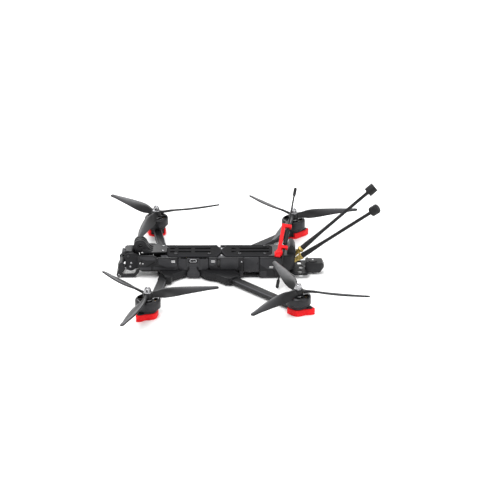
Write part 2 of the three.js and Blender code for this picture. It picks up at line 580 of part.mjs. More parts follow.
// The receiver's dipole leans across the tail, held by a red bracket on the left edge.
const DIPOLE = { centre: new THREE.Vector3(-86, 0, 50.6), half: 77 };
const DIPOLE_AIM = new THREE.Vector3(-13.8, -57.7, 49.8).normalize();
const DIPOLE_FORWARD = new THREE.Vector3(1, 0, 0).addScaledVector(DIPOLE_AIM, -DIPOLE_AIM.x).normalize();
const DIPOLE_FRAME = new THREE.Matrix4()
  .makeBasis(DIPOLE_FORWARD, new THREE.Vector3().crossVectors(DIPOLE_AIM, DIPOLE_FORWARD), DIPOLE_AIM)
  .setPosition(DIPOLE.centre);
const TUBE = { r: 3.1, half: 10.6 };

function dipoleGeometry() {
  const quarter = [[TUBE.r - 0.5, TUBE.half + 0.5], [1.2, TUBE.half + 2.5], [1.2, DIPOLE.half - 13],
    [2.1, DIPOLE.half - 11], [2.1, DIPOLE.half - 1], [1.2, DIPOLE.half]];
  const lower = quarter.map(([r, z]) => [r, -z]).reverse();
  return turned([[0, -DIPOLE.half], ...lower, [TUBE.r, -TUBE.half], [TUBE.r, TUBE.half], ...quarter,
    [0, DIPOLE.half]], 12);
}

// A bar with two open clips on the antenna, and a foot on the housing's deck.
function bracketGeometry() {
  const bar = block(3.9, 8.9, -3.2, 3.2, -32, 18.6);
  const clip = (z0, z1) => block(-4.4, 5, -3.2, 3.2, z0, z1);
  const rod = post(0, 0, 1.2 + GAP, -30, 30, 12);
  const gate = block(-6, 0, -1.1, 1.1, -30, 30);
  const arm = cut(join(bar, clip(14.2, 18.6), clip(-17.6, -13.8)), rod, gate).applyMatrix4(DIPOLE_FRAME);
  const low = DECK_TOP + GAP;
  const foot = slab(rect(-81, -69.6, 11.5, 22.4, 1.2), low, low + 3.4);
  const rise = [[-69.8, low + 0.5], [-71.4, low + 6], [-80, low + 8], [-80.6, low + 0.5]];
  const heel = wall(outline(rise, 0.8), 12.5, 21.6);
  const rodPath = post(0, 0, 3.2, -60, -20, 12).applyMatrix4(DIPOLE_FRAME);
  return cut(join(arm, foot, heel), block(-100, -60, -20, 40, 0, low), rodPath);
}

function tailPlateGeometry() {
  const shape = outline(symmetric([[-80, 12], [-91.5, 13.5], [-98, 22.6], [-113.5, 22.6], [-116, 19.6],
    [-116, 10.2], [-112, 9.4]]), 0.8);
  [[-107, -14], [-109, 0], [-107, 14]].forEach(([x, y]) => {
    shape.holes.push(hole(corners(x, x + 5.4, y - 5, y + 5), 1.2));
  });
  const feet = [9, -9].map((y) => post(-86, y, 2.6, BASE_T + GAP, MID_Z - GAP, 8));
  return join(slab(shape, 3.4, 5.4), ...feet);
}

function gpsGeometry() {
  const plan = slab(outline(symmetric([[-112.4, 9], [-134, 9], [-138.4, 5]]), 1), 1, 15.2);
  const side = wall(outline([[-112, 0], [-112, 17], [-134.6, 17], [-138.4, 10.4], [-138.4, 8],
    [-131, 0]]), -12, 12);
  const cap = turned([[0, 14.5], [6.6, 14.5], [6.6, 15.6], [6.2, 15.9], [3.6, 15.9], [3.4, 16.2],
    [0, 16.2]], 24).translate(-122.6, 0, 0);
  const ridge = wall(outline([[-113, 14], [-113, 16.2], [-116.4, 16.8], [-117.4, 14]], 0.5), -8, 8);
  const tongue = block(-113, -109.6, -6, 6, 1, 3.1);
  const shell = toGeometry(toSolid(plan).intersect(toSolid(side)));
  return join(shell, cap, ridge, tongue);
}

function addTail() {
  add('antenna_holder', holderGeometry(), BLACK_PLASTIC);
  SIDES.forEach(([word, side]) => {
    const stick = new THREE.Group();
    stick.position.set(STICK.x, STICK.y * side, STICK.z);
    stick.quaternion.copy(stickAim(side));
    group.add(stick);
    add(`antenna_socket_${word}`, turned(CONNECTOR, 14), BRASS, stick);
    add(`video_antenna_${word}`, stickGeometry(side > 0 ? 2 : 0.5), RUBBER, stick);
  });
  add('antenna_bracket', bracketGeometry(), RED_TPU);
  add('receiver_antenna', dipoleGeometry().applyMatrix4(DIPOLE_FRAME), RUBBER);
  add('tail_plate', tailPlateGeometry(), CARBON);
  add('gps_module', gpsGeometry(), BLACK_PLASTIC);
}

// ---- whole aircraft ----------------------------------------------------------------------------------
add('bottom_plate', bottomPlateGeometry(), CARBON);
add('mid_plate', midPlateGeometry(), CARBON);
add('front_top_plate', frontTopGeometry(), CARBON);
add('rear_top_plate', rearTopGeometry(), CARBON);
add('bridge_plate', bridgeGeometry(), CARBON);
CORNERS.forEach(addCorner);
SIDES.forEach(addSidePanels);
addNose();
addElectronics();
addTail();

export default group;
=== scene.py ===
import json
import math
import random

import bmesh
import bpy
from mathutils import Matrix, Vector
from mathutils.geometry import tessellate_polygon


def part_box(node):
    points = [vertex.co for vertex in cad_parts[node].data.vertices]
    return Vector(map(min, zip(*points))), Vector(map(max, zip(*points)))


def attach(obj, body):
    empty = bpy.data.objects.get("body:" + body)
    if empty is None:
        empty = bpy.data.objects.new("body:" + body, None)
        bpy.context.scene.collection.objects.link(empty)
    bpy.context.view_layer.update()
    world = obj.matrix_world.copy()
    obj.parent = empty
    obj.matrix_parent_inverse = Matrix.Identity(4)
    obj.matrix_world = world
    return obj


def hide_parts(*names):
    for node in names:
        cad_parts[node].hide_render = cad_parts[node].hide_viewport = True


# The finished look of a long-range quadcopter. Lengths are in millimetres until a mesh is made.

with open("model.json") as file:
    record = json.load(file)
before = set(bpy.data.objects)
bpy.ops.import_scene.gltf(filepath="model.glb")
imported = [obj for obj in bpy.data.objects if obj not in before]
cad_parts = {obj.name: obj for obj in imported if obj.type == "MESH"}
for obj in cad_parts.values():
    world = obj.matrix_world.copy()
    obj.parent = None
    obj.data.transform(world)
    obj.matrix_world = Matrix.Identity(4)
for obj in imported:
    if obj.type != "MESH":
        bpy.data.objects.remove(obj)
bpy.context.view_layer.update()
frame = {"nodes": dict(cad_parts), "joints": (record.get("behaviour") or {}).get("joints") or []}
MM = 0.001
SIDES = (("left", 1), ("right", -1))
CORNERS = ("front_left", "front_right", "rear_left", "rear_right")
PIVOTS = {joint["child"]: Vector(joint["pos_m"]) / MM for joint in frame["joints"]}
dice = random.Random(7)

# ---- materials ------------------------------------------------------------------------------


class Surface:
    """A Principled material, with short calls to build its nodes."""

    def __init__(self, name, color, roughness, metallic=0.0, **sockets):
        self.material = bpy.data.materials.new(name)
        self.material.use_nodes = True
        self.tree = self.material.node_tree
        self.shader = self.tree.nodes["Principled BSDF"]
        self.set(Base_Color=(*color, 1), Roughness=roughness, Metallic=metallic, **sockets)
        self.place = self.add("ShaderNodeTexCoord").outputs["Object"]

    def set(self, **sockets):
        self.plug(self.shader, sockets)

    def plug(self, node, sockets):
        for key, value in sockets.items():
            numbered = key[0] == "i" and key[1:].isdigit()
            socket = node.inputs[int(key[1:])] if numbered else node.inputs[key.replace("_", " ")]
            if isinstance(value, bpy.types.NodeSocket):
                self.tree.links.new(value, socket)
            else:
                socket.default_value = value

    def add(self, kind, settings=(), **sockets):
        node = self.tree.nodes.new(kind)
        for key, value in dict(settings).items():
            setattr(node, key, value)
        self.plug(node, sockets)
        return node

    def math(self, operation, a, b=0.0):
        return self.add("ShaderNodeMath", {"operation": operation}, i0=a, i1=b).outputs[0]

    def stretch(self, x, y, z):
        """The object's coordinates in millimetres, scaled along each axis."""
        scale = (x / MM, y / MM, z / MM)
        return self.add("ShaderNodeMapping", Vector=self.place, Scale=scale).outputs[0]

    def noise(self, x, y, z, detail=3.0):
        node = self.add("ShaderNodeTexNoise", Vector=self.stretch(x, y, z), Scale=1.0, Detail=detail)
        return node.outputs[0]

    def ramp(self, value, low, high, start=0.0, end=1.0):
        node = self.add("ShaderNodeMapRange", Value=value, From_Min=start, From_Max=end,
                        To_Min=low, To_Max=high)
        return node.outputs[0]

    def blend(self, factor, first, second):
        first, second = ((*c, 1) if isinstance(c, tuple) else c for c in (first, second))
        return self.add("ShaderNodeMix", {"data_type": "RGBA"}, i0=factor, i6=first, i7=second).outputs[2]

    def choose(self, factor, first, second):
        return self.add("ShaderNodeMix", {"data_type": "FLOAT"}, i0=factor, i2=first, i3=second).outputs[0]

    def upward(self):
        """The surface normal's part along Z."""
        normal = self.add("ShaderNodeNewGeometry").outputs["Normal"]
        return self.add("ShaderNodeSeparateXYZ", Vector=normal).outputs[2]

    def bump(self, height, strength, depth):
        node = self.add("ShaderNodeBump", Height=height, Strength=strength, Distance=depth * MM)
        self.set(Normal=node.outputs[0])


def shade(color, factor):
    return tuple(channel * factor for channel in color)


def carbon(name, color, chamfer=1.8, gloss=0.12):
    """Satin carbon plate: a 2 mm twill on flat faces, plies on the cut edges, and a painted highlight on the
    chamfers.
    """
    s = Surface(name, color, 0.45, Specular_IOR_Level=gloss)
    x, y, z = s.add("ShaderNodeSeparateXYZ", Vector=s.stretch(0.5, 0.5, 0.5)).outputs
    step = s.math("ADD", s.math("FLOOR", x), s.math("FLOOR", y))
    warp = s.math("LESS_THAN", s.math("FLOORED_MODULO", step, 4.0), 1.5)
    tows = s.choose(warp, s.math("PINGPONG", x, 0.5), s.math("PINGPONG", y, 0.5))
    plies = s.math("PINGPONG", s.math("MULTIPLY", z, 8.0), 0.5)
    level = s.math("ABSOLUTE", s.upward())
    flat = s.math("GREATER_THAN", level, 0.93)
    # Faces that are neither flat nor upright are the chamfers; chamfer times the base colour paints a
    # highlight on them.
    chamfer_highlight = s.math("LESS_THAN", s.math("ABSOLUTE", s.math("SUBTRACT", level, 0.7)), 0.22)
    height = s.choose(flat, plies, tows)
    dust = s.noise(0.05, 0.05, 0.05)
    face = s.blend(warp, shade(color, 0.88), shade(color, 1.12))
    tone = s.blend(chamfer_highlight, s.blend(flat, shade(color, 1.15), face), shade(color, chamfer))
    s.set(Base_Color=s.blend(s.ramp(dust, 0.0, 0.3), tone, shade(color, 1.6)))
    s.set(Roughness=s.math("ADD", s.ramp(height, 0.36, 0.46, 0.0, 0.5), s.ramp(dust, -0.05, 0.08)))
    s.bump(height, 0.15, 0.05)
    return s.material


def plastic(name, color, roughness, grain=0.35, depth=0.03, strength=0.3):
    """Moulded plastic: a fine spark grain and slow changes of tone."""
    s = Surface(name, color, roughness, Specular_IOR_Level=0.2)
    fine = s.noise(1 / grain, 1 / grain, 1 / grain, 2.0)
    slow = s.noise(0.05, 0.05, 0.05)
    s.set(Base_Color=s.blend(s.ramp(slow, 0.0, 1.0, 0.3, 0.7), shade(color, 0.85), shade(color, 1.2)))
    spread = s.ramp(fine, roughness - 0.06, roughness + 0.06)
    s.set(Roughness=s.math("ADD", spread, s.ramp(slow, -0.04, 0.04)))
    s.bump(fine, strength, depth)
    return s.material


def printed_rubber(name, color):
    """Soft printed rubber: fine level layers and a little mottle."""
    s = Surface(name, color, 0.5, Specular_IOR_Level=0.12, Subsurface_Weight=0.05,
                Subsurface_Radius=(0.002, 0.0006, 0.0005))
    height = s.add("ShaderNodeSeparateXYZ", Vector=s.stretch(1, 1, 1)).outputs[2]
    layers = s.math("PINGPONG", height, 0.16)
    mottle = s.noise(0.15, 0.15, 0.3)
    cloud = s.ramp(mottle, 0.0, 1.0, 0.35, 0.65)
    s.set(Base_Color=s.blend(cloud, shade(color, 0.85), shade(color, 1.1)))
    s.set(Roughness=s.ramp(mottle, 0.42, 0.58))
    s.bump(layers, 0.5, 0.25)
    return s.material


def metal(name, color, roughness, metallic=1.0):
    """Turned metal with fine marks around the axis and light handling wear."""
    s = Surface(name, color, roughness, metallic)
    marks = s.noise(0.3, 0.3, 7.0, 4.0)
    wear = s.noise(0.15, 0.15, 0.15)
    s.set(Base_Color=s.blend(s.ramp(wear, 0.0, 1.0, 0.35, 0.7), shade(color, 0.85), shade(color, 1.15)))
    s.set(Roughness=s.ramp(marks, roughness * 0.75, roughness * 1.3))
    s.bump(marks, 0.12, 0.02)
    return s.material


def blade_plastic(name, color):
    """Semi-gloss moulded blade, a little cloudy, paler towards the tip as a painted sheen, with painted shade
    on the edges and the underside.
    """
    s = Surface(name, color, 0.34, Specular_IOR_Level=0.22)
    radius = s.add("ShaderNodeVectorMath", {"operation": "LENGTH"}, Vector=s.stretch(1, 1, 0)).outputs[1]
    flow = s.noise(0.12, 0.12, 0.12, 4.0)
    # Paler towards the tip: a painted sheen.
    face = s.blend(s.ramp(radius, 0.0, 1.0, 15, 90), shade(color, 0.5), shade(color, 3.6))
    # Faces that turn away from straight up, the blade edges and the underside, are darkened: painted shade.
    tone = s.blend(s.ramp(s.upward(), 0.0, 1.0, 0.82, 0.97), shade(color, 0.3), face)
    s.set(Base_Color=s.blend(s.ramp(flow, 0.0, 0.4, 0.35, 0.7), tone, shade(color, 0.8)))
    s.set(Roughness=s.ramp(flow, 0.30, 0.44))
    s.bump(s.noise(2.5, 2.5, 2.5, 2.0), 0.15, 0.02)
    return s.material


def lens_glass(name):
    """Dark coated glass with a faint uneven sheen."""
    s = Surface(name, (0.004, 0.004, 0.006), 0.04, Coat_Weight=1.0, Coat_Roughness=0.02)
    sheen = s.noise(0.3, 0.3, 0.3)
    s.set(Base_Color=s.blend(sheen, (0.003, 0.003, 0.006), (0.012, 0.006, 0.020)))
    s.set(Roughness=s.ramp(sheen, 0.03, 0.07))
    return s.material


BLACK = (0.0115, 0.0115, 0.0125)
LOOKS = {
    # In the carbon looks the chamfer factor (1.8 unless given) sets the painted highlight on the chamfers; the
    # arm carbon's 7 paints the brightest edge lines.
    "carbon": (carbon("carbon", BLACK), "carbon"),
    "top_carbon": (carbon("top_carbon", shade(BLACK, 0.8), 2.6, 0.01), "carbon"),
    "pale_carbon": (carbon("pale_carbon", shade(BLACK, 5.0)), "carbon"),
    "arm_carbon": (carbon("arm_carbon", BLACK, 7.0), "carbon"),
    "plastic": (plastic("black_plastic", shade(BLACK, 1.2), 0.46), "black_plastic"),
    "relief": (plastic("panel_relief", shade(BLACK, 2.6), 0.42), "black_plastic"),
    "blade": (blade_plastic("blade_plastic", shade(BLACK, 1.6)), "prop_plastic"),
    "red": (printed_rubber("red_tpu", (0.68, 0.010, 0.014)), "red_tpu"),
    "anodised": (metal("anodised", shade(BLACK, 2.0), 0.36, 0.7), "motor_black"),
    "dark_steel": (metal("dark_steel", (0.060, 0.060, 0.063), 0.32), "motor_black"),
    "steel": (metal("steel", (0.34, 0.34, 0.35), 0.22), "steel"),
    "brass": (metal("brass", (0.36, 0.27, 0.09), 0.28), "gold_brass"),
    "copper": (metal("copper", (0.16, 0.10, 0.035), 0.35), "gold_brass"),
    "rubber": (plastic("black_rubber", shade(BLACK, 0.75), 0.5, 0.6, 0.02), "black_rubber"),
    "heat_sink": (metal("heat_sink", (0.045, 0.045, 0.05), 0.4, 0.9), "heat_sink"),
    "board": (plastic("circuit_board", (0.010, 0.014, 0.016), 0.32, 0.8, 0.01), "circuit_board"),
    "chip": (plastic("chip", (0.022, 0.022, 0.023), 0.4, 0.5, 0.01), "circuit_board"),
    # Near black: paints the shade in openings, notches and seams.
    "painted_shade": (plastic("recess_shade_sheet", shade(BLACK, 0.2), 0.7), "black_plastic"),
    "lens": (lens_glass("lens_glass"), "black_plastic"),
    "white": (plastic("white_paint", (0.78, 0.78, 0.78), 0.45, 0.5, 0.01), "black_plastic"),
}

# ---- meshes -----------------------------------------------------------------------------------

UP = Matrix.Identity(4)
# Outlines drawn across the radius, made thick along it.
OUTWARDS = Matrix(((0, 0, 1, 0), (1, 0, 0, 0), (0, 1, 0, 0), (0, 0, 0, 1)))


def at(x, y, z, axis=(0, 0, 1), turn=0.0):
    """A frame at a point, with its own Z along the axis."""
    lean = Vector((0, 0, 1)).rotation_difference(Vector(axis)).to_matrix().to_4x4()
    return Matrix.Translation((x, y, z)) @ lean @ Matrix.Rotation(turn, 4, "Z")


def drawn_on(side):
    """Outlines drawn in XZ, made thick outwards along Y on that side."""
    return Matrix(((1, 0, 0, 0), (0, 0, side, 0), (0, 1, 0, 0), (0, 0, 0, 1)))


def corners(x0, x1, y0, y1):
    return [(x0, y0), (x1, y0), (x1, y1), (x0, y1)]


def symmetric(half):
    return list(half) + [(x, -y) for x, y in reversed(half)]


def neighbours(points, i):
    """A corner of an outline, the one before it and the one after it."""
    return Vector(points[i]), Vector(points[i - 1]), Vector(points[(i + 1) % len(points)])


def rounded(points, radius, steps=4):
    """An outline with its corners rounded."""
    out = []
    for i in range(len(points)):
        here, before, after = neighbours(points, i)
        cut = min(radius, 0.45 * (before - here).length, 0.45 * (after - here).length)
        start = here + (before - here).normalized() * cut
        end = here + (after - here).normalized() * cut
        for t in (k / steps for k in range(steps + 1)):
            out.append((1 - t) ** 2 * start + 2 * t * (1 - t) * here + t * t * end)
    return [tuple(point) for point in out]


def inset(points, width):
    """A counter-clockwise outline moved inwards by width."""
    out = []
    for i in range(len(points)):
        here, before, after = neighbours(points, i)
        first, second = (here - before).normalized(), (after - here).normalized()
        inward = Vector((-first.y - second.y, first.x + second.x)).normalized()
        out.append(here + inward * (width / max(0.3, inward.dot(Vector((-first.y, first.x))))))
    return [tuple(point) for point in out]


def hexagon(angle):
    return math.cos(math.pi / 6) / math.cos(angle % (math.pi / 3) - math.pi / 6)


def knurl(angle):
    return 1 + 0.02 * math.cos(24 * angle)


class Shells:
    """Closed shells gathered into one mesh."""

    def __init__(self):
        self.bm = bmesh.new()

    def ring(self, points, place):
        return [self.bm.verts.new(place @ Vector(point) * MM) for point in points]

    def loft(self, rings, closed=False):
        """Faces between neighbouring rings. A ring of one vertex is a pole."""
        for first, second in zip(rings, rings[1:] + rings[:1] if closed else rings[1:]):
            count = max(len(first), len(second))
            for i in range(count):
                j = (i + 1) % count
                loop = [first[i % len(first)], first[j % len(first)],
                        second[j % len(second)], second[i % len(second)]]
                self.bm.faces.new(list(dict.fromkeys(loop)))

    def turned(self, profile, sides=48, place=UP, closed=False):
        """A profile of (radius, height), or (radius, height, form), turned about Z."""
        rings = []
        for radius, height, *form in profile:
            angles = [2 * math.pi * i / sides for i in range(sides if radius else 1)]
            reach = [radius * (form[0](a) if form else 1) for a in angles]
            around = [(r * math.cos(a), r * math.sin(a), height) for r, a in zip(reach, angles)]
            rings.append(self.ring(around, place))
        self.loft(rings, closed)
        return self

    def prism(self, points, low, high, place=UP):
        rings = [self.ring([(x, y, z) for x, y in points], place) for z in (low, high)]
        self.loft(rings)
        for ring in rings:
            self.bm.faces.new(ring)
        return self

    def block(self, x0, x1, y0, y1, z0, z1, place=UP):
        return self.prism(corners(x0, x1, y0, y1), z0, z1, place)

    def plate(self, outer, holes, low, high, rim):
        """A plate whose upper outside edge slopes in by the rim's width over its height."""
        width, drop = rim
        levels = [(outer, low), (outer, high - drop), (inset(outer, width), high)]
        sides = [[self.ring([(x, y, z) for x, y in points], UP) for points, z in levels]]
        sides += [[self.ring([(x, y, z) for x, y in points], UP) for z in (low, high)] for points in holes]
        for rings in sides:
            self.loft(rings)
        for end in (0, -1):
            loops = [rings[end] for rings in sides]
            flat = [vert for loop in loops for vert in loop]
            for corner in tessellate_polygon([[vert.co for vert in loop] for loop in loops]):
                self.bm.faces.new([flat[i] for i in corner])
        bmesh.ops.recalc_face_normals(self.bm, faces=self.bm.faces)
        bmesh.ops.dissolve_limit(self.bm, angle_limit=0.02, verts=self.bm.verts, edges=self.bm.edges)
        return self

    def screw(self, radius, place):
        """A button head with a hexagonal recess, standing on the place."""
        r, h = radius, radius * 0.62
        self.turned([(0, -0.2), (r, -0.2), (r, 0.35 * h), (0.92 * r, 0.68 * h), (0.74 * r, 0.93 * h),
                     (0.6 * r, h), (0.54 * r, h, hexagon), (0.54 * r, 0.3 * h, hexagon),
                     (0, 0.22 * h)], 24, place)
        return self

    def copy(self, node):
        """The CAD node's shape, with joined vertices and whole flat faces."""
        self.bm.from_mesh(frame["nodes"][node].data)
        self.bm.transform(frame["nodes"][node].matrix_world)
        bmesh.ops.remove_doubles(self.bm, verts=self.bm.verts, dist=2e-6)
        bmesh.ops.dissolve_limit(self.bm, angle_limit=0.02, verts=self.bm.verts, edges=self.bm.edges)
        return self

    def done(self, name, look, body="airframe", stands_for=(), edge=0.0, segments=2, origin=(0, 0, 0)):
        """Makes the object. edge is the width that its sharp edges are rounded by."""
        material, slot = LOOKS[look]
        bmesh.ops.recalc_face_normals(self.bm, faces=self.bm.faces)
        self.bm.transform(Matrix.Translation(Vector(origin) * -MM))
        mesh = bpy.data.meshes.new(name)
        self.bm.to_mesh(mesh)
        self.bm.free()
        mesh.materials.append(material)
        mesh.shade_smooth()
        obj = bpy.data.objects.new(name, mesh)
        obj.location = Vector(origin) * MM
        bpy.context.scene.collection.objects.link(obj)
        if edge:
            bevel = obj.modifiers.new("edges", "BEVEL")
            bevel.width = edge * MM
            bevel.segments = segments
            bevel.angle_limit = math.radians(30)
            bevel.harden_normals = True
        else:
            mesh.set_sharp_from_angle(angle=math.radians(35))
        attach(obj, body)
        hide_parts(*([stands_for] if isinstance(stands_for, str) else stands_for))
        return obj


def refined(node, look, edge=0.35, segments=2, body="airframe"):
    """A CAD node with rounded edges and its finished material."""
    return Shells().copy(node).done(node + "_shell", look, body, node, edge, segments)


# ---- rotors -----------------------------------------------------------------------------------

PROP_R = 95.25
PROP_PITCH = 94
PROP_Z = 29
BLADE_ROOT = 4.5
TIP_R = 92.2
STEEPEST = 0.62
MAGNETS = 14
TEETH = 12
BELL_SIDES = 72
# Chords at radii along the blade.
CHORD = [(0, 8.5), (11, 9.4), (22, 14.4), (35, 16.6), (45, 15.8), (55, 14.3), (68, 11.9), (81, 8.4),
         (91, 6.6), (96, 5.2)]
# Each rotor's sense, and the angle of its first blade at rest.
SPIN = {"front_left": (1, 73.6), "front_right": (-1, 75.6), "rear_left": (-1, 47.6), "rear_right": (1, 72.7)}


def chord_at(r):
    """The chord at a radius, eased between the measured stations."""
    i = next(k for k in range(1, len(CHORD)) if CHORD[k][0] >= r)
    (r0, c0), (r1, c1) = CHORD[i - 1], CHORD[i]
    (ra, ca), (rb, cb) = CHORD[max(i - 2, 0)], CHORD[min(i + 1, len(CHORD) - 1)]
    t, span = (r - r0) / (r1 - r0), r1 - r0
    m0 = (c1 - ca) / (r1 - ra) * span
    m1 = (cb - c0) / (rb - r0) * span
    return ((2 * t ** 3 - 3 * t ** 2 + 1) * c0 + (t ** 3 - 2 * t ** 2 + t) * m0
            + (3 * t ** 2 - 2 * t ** 3) * c1 + (t ** 3 - t ** 2) * m1)


def blade_section(r, lead, half=12):
    """Points around the blade at a radius, along +X. lead is +1 when the leading edge faces +Y."""
    t = (r - BLADE_ROOT) / (PROP_R - BLADE_ROOT)
    tip = math.sqrt(max(0.0, 1 - max(0.0, (r - TIP_R) / 3.06) ** 2))
    chord = chord_at(r) * (0.35 + 0.65 * tip)
    thick = (4.9 - 2.2 * math.sqrt(t)) * (0.4 + 0.6 * tip) + 2.4 * math.exp(-(r - BLADE_ROOT) / 3.2)
    pitch = min(math.atan(PROP_PITCH / (2 * math.pi * r)), STEEPEST)
    points = []
    for k in range(2 * half):
        upper = k < half
        s = (1 - math.cos(math.pi * (k if upper else 2 * half - k) / half)) / 2
        depth = 2.6 * (math.sqrt(s) - s) * (1 - 0.25 * s) * 2
        up = thick * depth * (0.42 if upper else -0.26) + 0.028 * chord * 4 * s * (1 - s)
        across = (0.42 - s) * chord + 1.6 * math.sin(t * math.pi) - 2.4 * t * t
        y = lead * (across * math.cos(pitch) - up * math.sin(pitch))
        points.append((r, y, across * math.sin(pitch) + up * math.cos(pitch) + 1.2 * t))
    return points


def add_propeller(corner, origin):
    lead, first = SPIN[corner]
    radii = [BLADE_ROOT + 1.6 * i for i in range(6)] + [15 + 3.1 * i for i in range(25)]
    radii += [91, 92.5, 93.6, 94.5, 95.1]
    shells = Shells()
    for turn in (0, 120, 240):
        place = at(origin.x, origin.y, PROP_Z) @ Matrix.Rotation(math.radians(first + turn), 4, "Z")
        rings = [shells.ring(blade_section(r, lead), place) for r in radii]
        shells.loft(rings)
        shells.bm.faces.new(rings[0])
        shells.bm.faces.new(rings[-1])
    hub = [(2.8, 25.1), (6.1, 25.1), (6.6, 25.6), (6.6, 31.6), (6.3, 32.3), (5.9, 32.3), (5.7, 32.8),
           (2.8, 32.8)]
    shells.turned(hub, 64, at(origin.x, origin.y, 0), closed=True)
    shells.done(f"propeller_{corner}_moulding", "blade", f"rotor_{corner}", f"propeller_{corner}",
                origin=(origin.x, origin.y, 0))


def add_nut(corner, origin):
    centre = at(origin.x, origin.y, 0)
    middle = (origin.x, origin.y, 0)
    rotor = f"rotor_{corner}"
    profile = [(2.7, 33.1), (5.4, 33.1), (5.4, 33.8), (4.9, 34.2), (4.5, 34.3), (4.6, 34.4, hexagon),
               (4.6, 37.1, hexagon), (4.1, 37.6), (4.0, 38.4), (3.6, 39.1), (3.0, 39.4), (2.7, 39.3)]
    nut = Shells().turned(profile, 48, centre, closed=True)
    nut.done(f"prop_nut_{corner}_turned", "steel", rotor, f"prop_nut_{corner}", origin=middle)
    thread = [(0, 24)] + [(2.5 - 0.22 * (i % 2), 24 + 0.35 * i) for i in range(47)]
    shaft = Shells().turned(thread + [(2.1, 40.8), (1.7, 41.3), (0, 41.3)], 32, centre)
    shaft.done(f"motor_shaft_{corner}", "steel", rotor, origin=middle)


def add_motor(corner, origin):
    centre = at(origin.x, origin.y, 0)
    middle = (origin.x, origin.y, 0)
    rotor = f"rotor_{corner}"
    can = [(15.9, 12.4), (16.7, 12.2), (17, 12.5), (17, 13.7), (16.75, 13.9), (16.75, 14.3), (17, 14.5),
           (17, 21.6), (16.6, 22.6), (15.9, 23.6), (14.9, 24.4), (14.2, 24.5), (13.7, 24.2),
           (13.7, 22.9), (15.9, 22.0)]
    hub = [(2.6, 22.2), (6.6, 22.2), (7.4, 22.9), (7.4, 23.9), (6.9, 24.5), (6.5, 24.5), (6.5, 24.8),
           (2.6, 24.8)]
    bell = Shells().turned(can, BELL_SIDES, centre, closed=True)
    bell.turned(hub, BELL_SIDES, centre, closed=True)
    spoke = [(6.6, -2.6), (10.2, -1.5), (14.4, -2.7), (14.4, 2.7), (10.2, 1.5), (6.6, 2.6)]
    for i in range(6):
        turn = Matrix.Rotation(math.radians(60 * i + 12), 4, "Z")
        bell.prism(rounded(spoke, 1), 22.6, 24.2, centre @ turn)
    bell.done(f"motor_bell_{corner}_turned", "anodised", rotor, f"motor_bell_{corner}", origin=middle)
    bright = Shells()
    for ring in ([(13.6, 24.2), (13.85, 24.2), (14.15, 24.55), (13.9, 24.55)],
                 [(7.2, 23.7), (7.5, 23.7), (7.25, 24.3), (7.0, 24.3)]):
        bright.turned(ring, BELL_SIDES, centre, closed=True)
    bright.done(f"motor_bell_{corner}_bright_edges", "steel", rotor, origin=middle)
    magnets = Shells()
    for i in range(MAGNETS):
        turn = Matrix.Rotation(2 * math.pi * i / MAGNETS, 4, "Z")
        magnets.block(15.0, 16.0, -2.9, 2.9, 13, 21.4, centre @ turn)
    magnets.done(f"motor_magnets_{corner}", "dark_steel", rotor, origin=middle, edge=0.15, segments=1)
    base = [(3.2, 7.8), (12.9, 7.8), (13.5, 8.4), (13.5, 9.6), (13.0, 9.9), (13.0, 10.6), (13.3, 10.9),
            (12.6, 11.4), (8.2, 11.8), (8, 13.4), (8, 20.8), (3.2, 20.8)]
    Shells().turned(base, 64, centre, closed=True).done(
        f"motor_base_{corner}_turned", "anodised", "airframe", f"motor_base_{corner}", origin=middle)
    teeth, coils = Shells(), Shells()
    shoe = [(13.3, -2.9), (14.2, -3.1), (14.6, 0), (14.2, 3.1), (13.3, 2.9), (13.5, 0)]
    for i in range(TEETH):
        place = centre @ Matrix.Rotation(2 * math.pi * i / TEETH, 4, "Z")
        teeth.block(7.5, 13.8, -0.9, 0.9, 14.2, 20.4, place)
        teeth.prism(shoe, 14.2, 20.4, place)
        for k in range(5):
            start = 8.3 + 1.0 * k
            half = 1.35 + 0.14 * k
            turn = rounded(corners(-half, half, 13.0, 21.5), 1.1, 3)
            coils.prism(turn, start, start + 0.92, place @ OUTWARDS)
    teeth.done(f"stator_teeth_{corner}", "dark_steel", origin=middle, edge=0.1, segments=1)
    coils.done(f"stator_coils_{corner}", "copper", origin=middle, edge=0.22)


def add_rotors():
    for corner in CORNERS:
        origin = PIVOTS[f"rotor_{corner}"]
        add_motor(corner, origin)
        add_propeller(corner, origin)
        add_nut(corner, origin)
        refined(f"arm_{corner}", "arm_carbon", 0.3)
        refined(f"foot_pad_{corner}", "red", 0.8, 3)


# ---- plates -----------------------------------------------------------------------------------

TOP_LOW, TOP_HIGH = 28.8, 31.8
BODY_HALF = 18.4
SLOT_Y = 5.2
POST_XS = (66, 20, -21.5, -56.5)
PANEL_OUT = 21.2


def slot_hole(x0, x1, y):
    return rounded(corners(x0, x1, y - 2.2, y + 2.2), 1.4)


